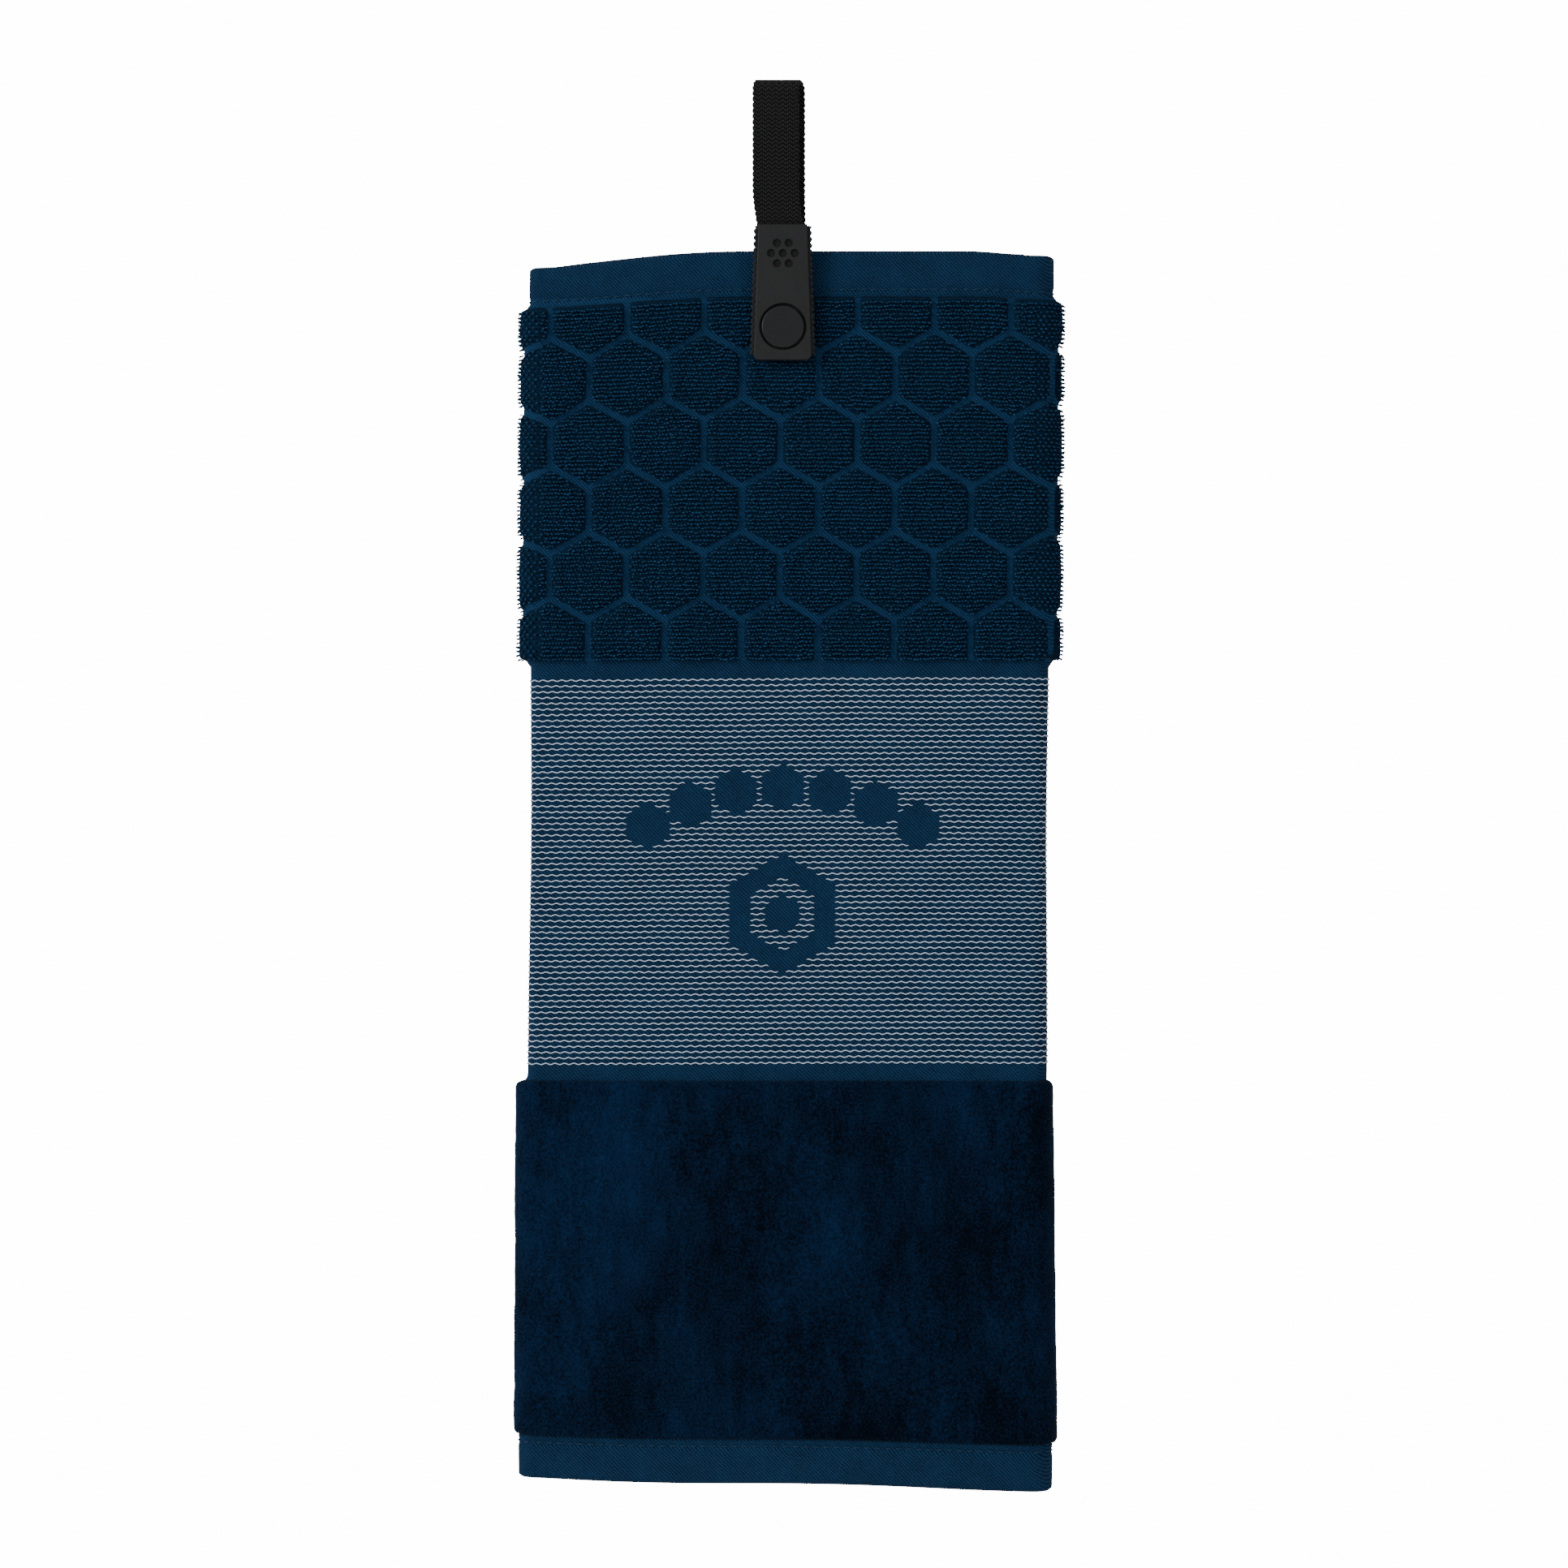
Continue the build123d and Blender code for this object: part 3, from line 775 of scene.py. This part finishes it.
def terry_pile(cloth):
    """The bed of the pile: raised islands in front, short pile behind."""
    s = cloth.columns(1.2 * MM)
    z = np.linspace(Z_TERRY, Z_BAND, int((Z_TERRY - Z_BAND) / BED_STEP))
    grid_s, grid_z = np.meshgrid(s, z)
    inside = island(cloth.pattern_x(grid_s), grid_z)
    inside = np.minimum(inside, snap_clear(grid_s, grid_z, cloth))
    inside = np.minimum(inside, np.minimum(Z_TERRY - grid_z, grid_z - Z_BAND))
    swell = ease((inside + 0.5 * MM) / (1.9 * MM))
    crown = ease(inside / (9 * MM)) * BED_CROWN
    top = GROUND - BED_SUNK + swell * BED_RISE + crown
    top = top + 0.08 * MM * hash_noise(grid_s, grid_z, 1.7 * MM, 11)
    bottom = -BACK + 0.1 * MM * hash_noise(grid_s, grid_z, 1.9 * MM, 12)
    obj = slab(cloth.name + "_terry_bed", cloth, s, z, top, bottom, PILE_BED)
    return cloth.attach(obj, cloth.name + "_honeycomb_terry")


def terry_loops(cloth, step):
    """Loops on the islands, in rows, and standing free at the folds."""
    rng = np.random.default_rng(21)
    rows = np.arange(Z_BAND + 0.7 * MM, Z_TERRY - 0.5 * MM, LOOP_ROW)
    halves = (("upper", rows[len(rows) // 2:]), ("lower", rows[: len(rows) // 2]))
    for part, some in halves:
        s = np.arange(cloth.s0 + step / 2, cloth.inner, step)
        grid_s, grid_z = np.meshgrid(s, some)
        grid_s = grid_s + (np.arange(len(some))[:, None] % 2) * step / 2
        grid_s = grid_s + rng.uniform(-0.12, 0.12, grid_s.shape) * step
        grid_z = grid_z + rng.uniform(-0.08, 0.08, grid_z.shape) * LOOP_ROW
        grid_z = grid_z + 0.22 * MM * hash_noise(grid_s, grid_z, 3.4 * MM, 15)
        s, z = grid_s.ravel(), grid_z.ravel()
        inside = np.minimum(island(cloth.pattern_x(s), z), snap_clear(s, z, cloth))
        strayed = 0.75 * MM * hash_noise(s, z, 1.5 * MM, 19)
        keep = (inside + strayed > 0.15 * MM) & (s > cloth.s0) & (s < cloth.inner)
        s, z, inside = s[keep], z[keep], inside[keep]
        h = GROUND + LOOP_FOOT + ease(inside / (2.2 * MM)) * LOOP_CLIMB
        points, angle = cloth.place(s, z, h)
        lean = rng.uniform(0.1, 0.4, len(s))
        turns = np.stack([math.pi / 2 + lean, 0 * angle, angle], -1)
        name = f"{cloth.name}_terry_loops_{part}"
        obj = scatter(name, points, turns, (1, 1, 1), LOOP, TERRY, (0.8, 1.1), 0.25, 31)
        cloth.attach(obj)


# ---------------------------------------------------------------- velour


def velour(cloth):
    """The sheared pile, with a soft uneven surface and rounded ends."""
    s = cloth.columns(1.2 * MM)
    upper = Z_VELOUR + NAP_OVER
    z = steps(upper, (upper - 3 * MM, 0.5 * MM), (Z_BOTTOM_HEM + 3 * MM, 1.2 * MM),
              (Z_BOTTOM_HEM, 0.5 * MM))
    grid_s, grid_z = np.meshgrid(s, z)
    x = cloth.pattern_x(grid_s)
    edge = np.minimum(upper - grid_z, grid_z - Z_BOTTOM_HEM)
    ragged = hash_noise(x, 0 * x, 2.1 * MM, 16) + 0.6 * hash_noise(x, 0 * x + 7, 0.9 * MM, 17)
    near_edge = ease(1 - edge / (2.5 * MM))
    lower_half = grid_z < (Z_VELOUR + Z_BOTTOM_HEM) / 2
    grid_z = grid_z + NAP_RAGGED * (ragged - 1) * near_edge * lower_half
    full = np.sqrt(np.clip(1 - (1 - np.clip(edge / NAP_ROUND, 0, 1)) ** 2, 0, 1))
    nap = 0.16 * hash_noise(x, grid_z * 0.5, 3.1 * MM, 5) + 0.1 * hash_noise(x, grid_z, 1.3 * MM, 6)
    top = GROUND - NAP_SUNK + (FACE - GROUND + NAP_PROUD) * full + nap * MM * full
    bottom = -BACK + 0.12 * MM * hash_noise(x, grid_z, 1.7 * MM, 7)
    obj = slab(cloth.name + "_velour_pile", cloth, s, z, top, bottom, VELOUR)
    return cloth.attach(obj, cloth.name + "_velour")


# ---------------------------------------------------------------- ground cloth with its hems


def ground_cloth(cloth):
    """The woven ground from hem to hem: it shows in the hems, the flat band and the grooves."""
    edge = cloth.s1
    s = cloth.columns(1.6 * MM)
    if cloth.hem:
        rest = np.linspace(edge - SIDE_HEM, edge, 13)
        s = np.concatenate([s, rest[1:]])
    fine = 0.8 * MM
    z = steps(Z_TOP, (Z_TERRY - 2 * MM, fine), (Z_BAND, 3 * MM), (Z_VELOUR, 2 * MM),
              (Z_BOTTOM_HEM + 2 * MM, 3 * MM), (Z_BOTTOM, fine))
    grid_s, grid_z = np.meshgrid(s, z)
    in_hem = np.maximum(ease((grid_z - Z_TERRY) / MM + 0.5), ease((Z_BOTTOM_HEM - grid_z) / MM + 0.5))
    free = edge - grid_s if cloth.hem else np.full(grid_s.shape, 1.0)
    in_side = ease((SIDE_HEM - free) / MM + 0.5)
    doubled = np.maximum(in_hem, in_side)
    rim = np.minimum(np.minimum(Z_TOP - grid_z, grid_z - Z_BOTTOM), free)
    round_off = np.sqrt(np.clip(1 - (1 - np.clip(rim / HEM_ROUND, 0, 1)) ** 2, 0.02, 1))
    upper_line = np.abs(grid_z - Z_TERRY - STITCH_INSET)
    line = np.minimum(upper_line, np.abs(Z_BOTTOM_HEM - STITCH_INSET - grid_z))
    line = np.minimum(line, np.abs(free - SIDE_HEM + STITCH_INSET))
    dent = np.exp(-((line / (1.1 * MM)) ** 2)) * doubled
    puff = (HEM_PUFF + 0.1 * MM * hash_noise(grid_s, grid_z, 6 * MM, 3)) * doubled
    back = HEM_BACK * doubled + GROUND * (1 - doubled)
    centre, half = (GROUND - back) / 2, (GROUND + back) / 2
    top = centre + (half + puff - STITCH_DENT * dent) * round_off
    bottom = centre - half * round_off + 0.15 * MM * dent
    obj = slab(cloth.name + "_cloth", cloth, s, z, top, bottom, TWILL)
    nodes = [cloth.name + "_top_hem", cloth.name + "_flat_band", cloth.name + "_bottom_hem"]
    if cloth.hem:
        nodes.append(cloth.name + "_side_hem")
    cloth.attach(obj, *nodes)
    if cloth.kind == "fold":
        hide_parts(cloth.name)
    width = FOLD_SPREAD * cloth.turn if cloth.kind == "fold" else cloth.s1 - cloth.s0
    return obj


def hem_stitches(cloth):
    """Sewing thread along both hems, and down the side hem of a wing."""
    s = np.arange(cloth.s0 + STITCH_PITCH / 2, cloth.s1, STITCH_PITCH)
    rows = (Z_TERRY + STITCH_INSET, Z_BOTTOM_HEM - STITCH_INSET)
    grid_s, grid_z = np.meshgrid(s, rows)
    points, angle = cloth.place(grid_s, grid_z, GROUND + 0.02 * MM)
    turns = np.stack([0 * angle + math.pi / 2, 0 * angle, angle], -1)
    name = cloth.name + "_hem_thread"
    obj = scatter(name, points, turns, (1, 1, 1), STITCH, BLUE, (0.92, 1.08), 0.06, 5)
    cloth.attach(obj, cloth.name + "_hem_stitching")
    if not cloth.hem:
        return
    z = np.arange(Z_BOTTOM_HEM + 2 * MM, Z_TERRY - 2 * MM, STITCH_PITCH)
    points, angle = cloth.place(np.full(len(z), cloth.s1 - SIDE_HEM + STITCH_INSET), z, GROUND)
    turns = np.stack([0 * angle, 0 * angle + math.pi / 2, angle + math.pi / 2], -1)
    name = cloth.name + "_side_thread"
    obj = scatter(name, points, turns, (1, 1, 1), STITCH, BLUE, (0.92, 1.08), 0.06, 6)
    cloth.attach(obj, cloth.name + "_side_stitching")


# ---------------------------------------------------------------- pale threads and their motif
MOTIF_TOP = Z_BAND - 42 * MM  # middle of the arch's top hexagon
ARCH_RADIUS = 85 * MM
ARCH_STEP = math.radians(10.6)
ARCH_HEXAGON = 6.7 * MM  # half across the flats
BADGE_DROP = 42 * MM
BADGE = (17 * MM, 11 * MM, 5.5 * MM)  # outer edge, inner edge and heart, half across the flats


def motif(x, z):
    """True where the motif hides the pale threads: an arch of hexagons over a ringed one."""
    hidden = np.zeros(np.shape(x), bool)
    for k in range(-3, 4):
        turn = k * ARCH_STEP
        cx = ARCH_RADIUS * math.sin(turn)
        cz = MOTIF_TOP - ARCH_RADIUS * (1 - math.cos(turn))
        hidden |= hexagon(x - cx, z - cz) < ARCH_HEXAGON
    badge = hexagon(x, z - MOTIF_TOP + BADGE_DROP)
    outer, inner, heart = BADGE
    return hidden | ((badge < outer) & (badge > inner)) | (badge < heart)


def thread_run(cloth, s, z, proud, taper):
    """One unbroken length of a pale thread: rings of four points, thin where it ducks under."""
    ring = []
    for dz, dh in ((-1, 0.0), (-0.55, 0.8), (0.55, 0.8), (1, 0.0)):
        h = GROUND - THREAD_SUNK + (THREAD_SUNK + proud * taper) * dh
        ring.append(cloth.place(s, z + dz * THREAD_HALF * (0.3 + 0.7 * taper), h)[0])
    n = len(s)
    k = np.arange(n - 1)[:, None] * 4
    faces = []
    for j in range(4):
        after = (j + 1) % 4
        faces.append(np.concatenate([k + j, k + after, k + 4 + after, k + 4 + j], 1))
    faces.append(np.array([[0, 1, 2, 3]]))
    faces.append(np.array([[3, 2, 1, 0]]) + (n - 1) * 4)
    return np.stack(ring, 1).reshape(-1, 3), np.concatenate(faces)


def pale_threads(cloth):
    """Wavy threads that float on the flat band and duck under it at the motif."""
    z0, z1 = Z_BAND - UPPER_PLAIN, Z_VELOUR + LOWER_PLAIN
    count = int((z0 - z1) / THREAD_PITCH)
    rng = np.random.default_rng(8)
    s = np.linspace(cloth.s0, cloth.inner, int((cloth.inner - cloth.s0) / (THREAD_WAVE / 5)))
    verts, faces, base = [], [], 0
    for i in range(count):
        row = z0 - (i + 0.5) * (z0 - z1) / count
        x = cloth.pattern_x(s)
        bow = 0.35 * MM * np.sin(x * 17 + 0.4) + 0.12 * MM * hash_noise(x, 0 * x + row, 14 * MM, 9)
        phase = (i % 2) * math.pi + rng.uniform(-0.5, 0.5)
        z = row + bow + THREAD_SWAY * np.sin(x * TAU / THREAD_WAVE + phase)
        proud = THREAD_PROUD * (0.75 + 0.25 * np.cos(2 * (x * TAU / THREAD_WAVE + phase)))
        hidden = motif(x, z) if not cloth.side else np.zeros(len(x), bool)
        runs = np.split(np.arange(len(s)), np.where(np.diff(hidden.astype(int)) != 0)[0] + 1)
        for run in runs:
            if hidden[run[0]] or len(run) < 3:
                continue
            taper = np.ones(len(run))
            if run[0] > 0:
                taper[0] = THREAD_END
            if run[-1] < len(s) - 1 or cloth.hem:
                taper[-1] = THREAD_END
            some, rings = thread_run(cloth, s[run], z[run], proud[run], taper)
            verts.append(some)
            faces.append(rings + base)
            base += len(some)
    obj = new_object(cloth.name + "_pale_yarn", np.concatenate(verts), np.concatenate(faces), PALE)
    outward(obj)
    return cloth.attach(obj, cloth.name + "_pale_threads")


for stretch in CLOTHS:
    ground_cloth(stretch)
    terry_pile(stretch)
    terry_loops(stretch, LOOP_STEP * LOOP_THINNING.get(stretch.name, 1))
    velour(stretch)
    pale_threads(stretch)
    hem_stitches(stretch)

# ---------------------------------------------------------------- strap


def webbing_section():
    """Points round the webbing's section: shares of its half width and of its half thickness."""
    flat_count, edge_count = 41, 5
    turn = np.linspace(1, -1, edge_count + 2)[1:-1]
    ones = np.ones(flat_count)
    across = np.concatenate([np.linspace(-1, 1, flat_count), np.ones(edge_count),
                             np.linspace(1, -1, flat_count), -np.ones(edge_count)])
    return across, np.concatenate([ones, turn, -ones, turn[::-1]])


def strap():
    """One length of webbing: up behind the towel, over, and down in front behind the tab."""
    rear_low, rear_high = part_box("strap_rear_webbing")
    front_low, front_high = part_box("strap_front_webbing")
    thick = (rear_high.y - rear_low.y) / 2
    y_rear, y_front = (rear_low.y + rear_high.y) / 2, (front_low.y + front_high.y) / 2
    radius = (y_rear - y_front) / 2
    z_crown = rear_high.z
    rear_length, front_length = z_crown - rear_low.z, z_crown - front_low.z
    arc = math.pi * radius
    length = rear_length + arc + front_length
    t = np.linspace(0, length, int(length / STRAP_STEP))
    phi = np.clip((t - rear_length) / radius, 0, math.pi)
    y = (y_rear + y_front) / 2 + radius * np.cos(phi)
    z = z_crown + radius * np.sin(phi)
    z = z - np.maximum(rear_length - t, 0) - np.maximum(t - rear_length - arc, 0)
    normal = np.stack([0 * t, np.cos(phi), np.sin(phi)], -1)
    centre = np.stack([0 * t, y, z], -1)
    half = (rear_high.x - rear_low.x) / 2 - 0.15 * MM
    selvage = half + SELVAGE_WAVE * np.abs(np.sin(t * math.pi / SELVAGE_PITCH)) - SELVAGE_ROUND
    above = ease((z - Z_TOP) / (22 * MM))
    front = ease(phi / math.pi)
    lean = above * (REAR_LEAN * (1 - front) + FRONT_LEAN * front)
    across, lift = webbing_section()
    rounding = np.sqrt(1 - lift ** 2) * SELVAGE_ROUND * np.sign(across)
    px = across[None] * selvage[:, None] + rounding[None]
    wale = np.abs((px / WALE_WIDTH + 100) % 2 - 1) * WALE_WIDTH
    bone = np.sin((t[:, None] + 0.9 * wale) * TAU / WEAVE_PITCH)
    rib = np.sin(t * TAU / RIB_PITCH)[:, None]
    crown = np.exp(-(((t - rear_length - arc / 2) / (14 * MM)) ** 2))[:, None]
    weave = STRAP_RELIEF * (bone * (1 - crown) + 1.2 * rib * crown)
    height = lift[None] * (thick - 0.1 * MM + weave)
    px = px + lean[:, None]
    verts = centre[:, None] + normal[:, None] * height[..., None]
    verts[..., 0] += px
    n, k = px.shape
    mesh = smooth_mesh("strap_webbing", verts.reshape(-1, 3), ring_faces(n, k))
    mesh.materials.append(WEBBING)
    layer = mesh.uv_layers.new(name="UVMap")
    index = np.zeros(len(mesh.loops), int)
    mesh.loops.foreach_get("vertex_index", index)
    flat = np.stack([np.broadcast_to(px, (n, k)).ravel(), np.repeat(t, k)], -1)
    layer.data.foreach_set("uv", flat[index].astype(np.float32).ravel())
    obj = outward(in_scene("strap_webbing", mesh))
    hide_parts("strap_rear_webbing", "strap_crown", "strap_front_webbing")
    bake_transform(obj)
    return obj


def strap_tacks():
    """The thread that sews the rear leg to the top hem."""
    low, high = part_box("strap_anchor_stitching")
    x = np.arange(low.x + 1.0 * MM, high.x, STITCH_PITCH)
    z = np.linspace(low.z, high.z, 3)
    grid_x, grid_z = np.meshgrid(x, z)
    points = np.stack([grid_x.ravel(), np.full(grid_x.size, low.y), grid_z.ravel()], -1)
    turns = np.tile([math.pi / 2, 0, math.pi], (len(points), 1))
    obj = scatter("strap_tacks", points, turns, (1.1, 1, 1), STITCH, BLACK, (0.95, 1.05), 0.08, 3)
    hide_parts("strap_anchor_stitching")
    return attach(obj, "towel")


def tab_teeth():
    """The webbing's beaded edge, oversewn along both sides of the tab."""
    low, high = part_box("tab_edge_stitching")
    tab_low, tab_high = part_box("tab_rubber")
    reach = high.x - tab_high.x
    z = np.linspace(tab_high.z - 0.5 * MM, low.z - 0.6 * MM, 220)
    half = TAB_TOP_HALF + (tab_high.z - z) / (tab_high.z - tab_low.z) * (tab_high.x - TAB_TOP_HALF)
    rng = np.random.default_rng(4)
    verts, faces, base = [], [], 0
    for side in (-1, 1):
        bead = np.abs(np.sin((high.z - z) * math.pi / BEAD_PITCH + rng.uniform(0, 2)))
        size = 0.15 * MM + bead * (BEAD - 0.15 * MM)
        size[0] = size[-1] = 0.1 * MM
        beads = (side * (half + reach - BEAD), size, 10, 0.85)
        core = (side * (half + 0.15 * MM), np.full(len(z), 0.5 * MM), 8, 1.0)
        for x, radii, sides, flatness in (beads, core):
            some, rings = tube(np.stack([x, 0 * x, z], -1), radii, sides)
            some[:, 1] = some[:, 1] * flatness + (low.y + high.y) / 2
            verts.append(some)
            faces += [tuple(i + base for i in ring) for ring in rings]
            base += len(some)
    mesh = smooth_mesh("tab_teeth", np.concatenate(verts), faces)
    mesh.materials.append(BLACK)
    obj = outward(in_scene("tab_teeth", mesh))
    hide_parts("tab_edge_stitching")
    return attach(obj, "strap_tab")


strap()
strap_tacks()
tab_teeth()

for node, material in (
    ("tab_rubber", RUBBER), ("snap_cap", ENAMEL), ("snap_socket", METAL),
    ("snap_stud", METAL), ("snap_eyelet", METAL),
):
    carried = frame["nodes"][node]
    carried.data.materials.clear()
    carried.data.materials.append(material)

# ---------------------------------------------------------------- studio


def studio():
    """A white sweep of paper, soft light from the front and the left, and a camera."""
    floor_z, wall_y, bend = Z_BOTTOM - 0.30, 2.4, 0.35
    t = np.linspace(0, math.pi / 2, 17)
    profile = [(-4.0, floor_z)] + [
        (wall_y - bend + bend * math.sin(a), floor_z + bend - bend * math.cos(a)) for a in t
    ] + [(wall_y, 3.0)]
    verts = [(x, y, z) for y, z in profile for x in (-4.0, 4.0)]
    faces = [(2 * i, 2 * i + 1, 2 * i + 3, 2 * i + 2) for i in range(len(profile) - 1)]
    new_object("studio_sweep", verts, faces, backdrop_material())

    world = bpy.data.worlds.new("studio_air")
    bpy.context.scene.world = world
    world.use_nodes = True
    air = world.node_tree.nodes["Background"]
    air.inputs["Color"].default_value = (1, 1, 1, 1)
    seen = world.node_tree.nodes.new("ShaderNodeLightPath")
    glow = world.node_tree.nodes.new("ShaderNodeMath")
    glow.operation = "MULTIPLY_ADD"
    glow.inputs[1].default_value = WHITE_GLOW
    glow.inputs[2].default_value = 0.75
    world.node_tree.links.new(seen.outputs["Is Camera Ray"], glow.inputs[0])
    world.node_tree.links.new(glow.outputs[0], air.inputs["Strength"])

    def lamp(name, place, size, power):
        data = bpy.data.lights.new(name, "AREA")
        data.shape, data.size, data.energy = "SQUARE", size, power
        obj = in_scene(name, data)
        obj.location = place
        aim = np.array([0, 0, -0.23]) - np.array(place)
        obj.rotation_euler = Vector(aim).to_track_quat("-Z", "Y").to_euler()

    lamp("key", (-1.6, -1.1, 0.5), 0.8, 40)
    lamp("fill", (1.6, -1.6, 0.1), 1.4, 5)

    camera = bpy.data.cameras.new("camera")
    camera.lens = 85
    camera.sensor_width = 36
    view_width = 0.5187  # in metres, at the towel's face
    distance = view_width * camera.lens / camera.sensor_width
    obj = in_scene("camera", camera)
    obj.location = (0.0004, Y_CENTRE - FACE - distance, -0.2319)
    obj.rotation_euler = (math.pi / 2, 0, 0)
    bpy.context.scene.camera = obj


studio()
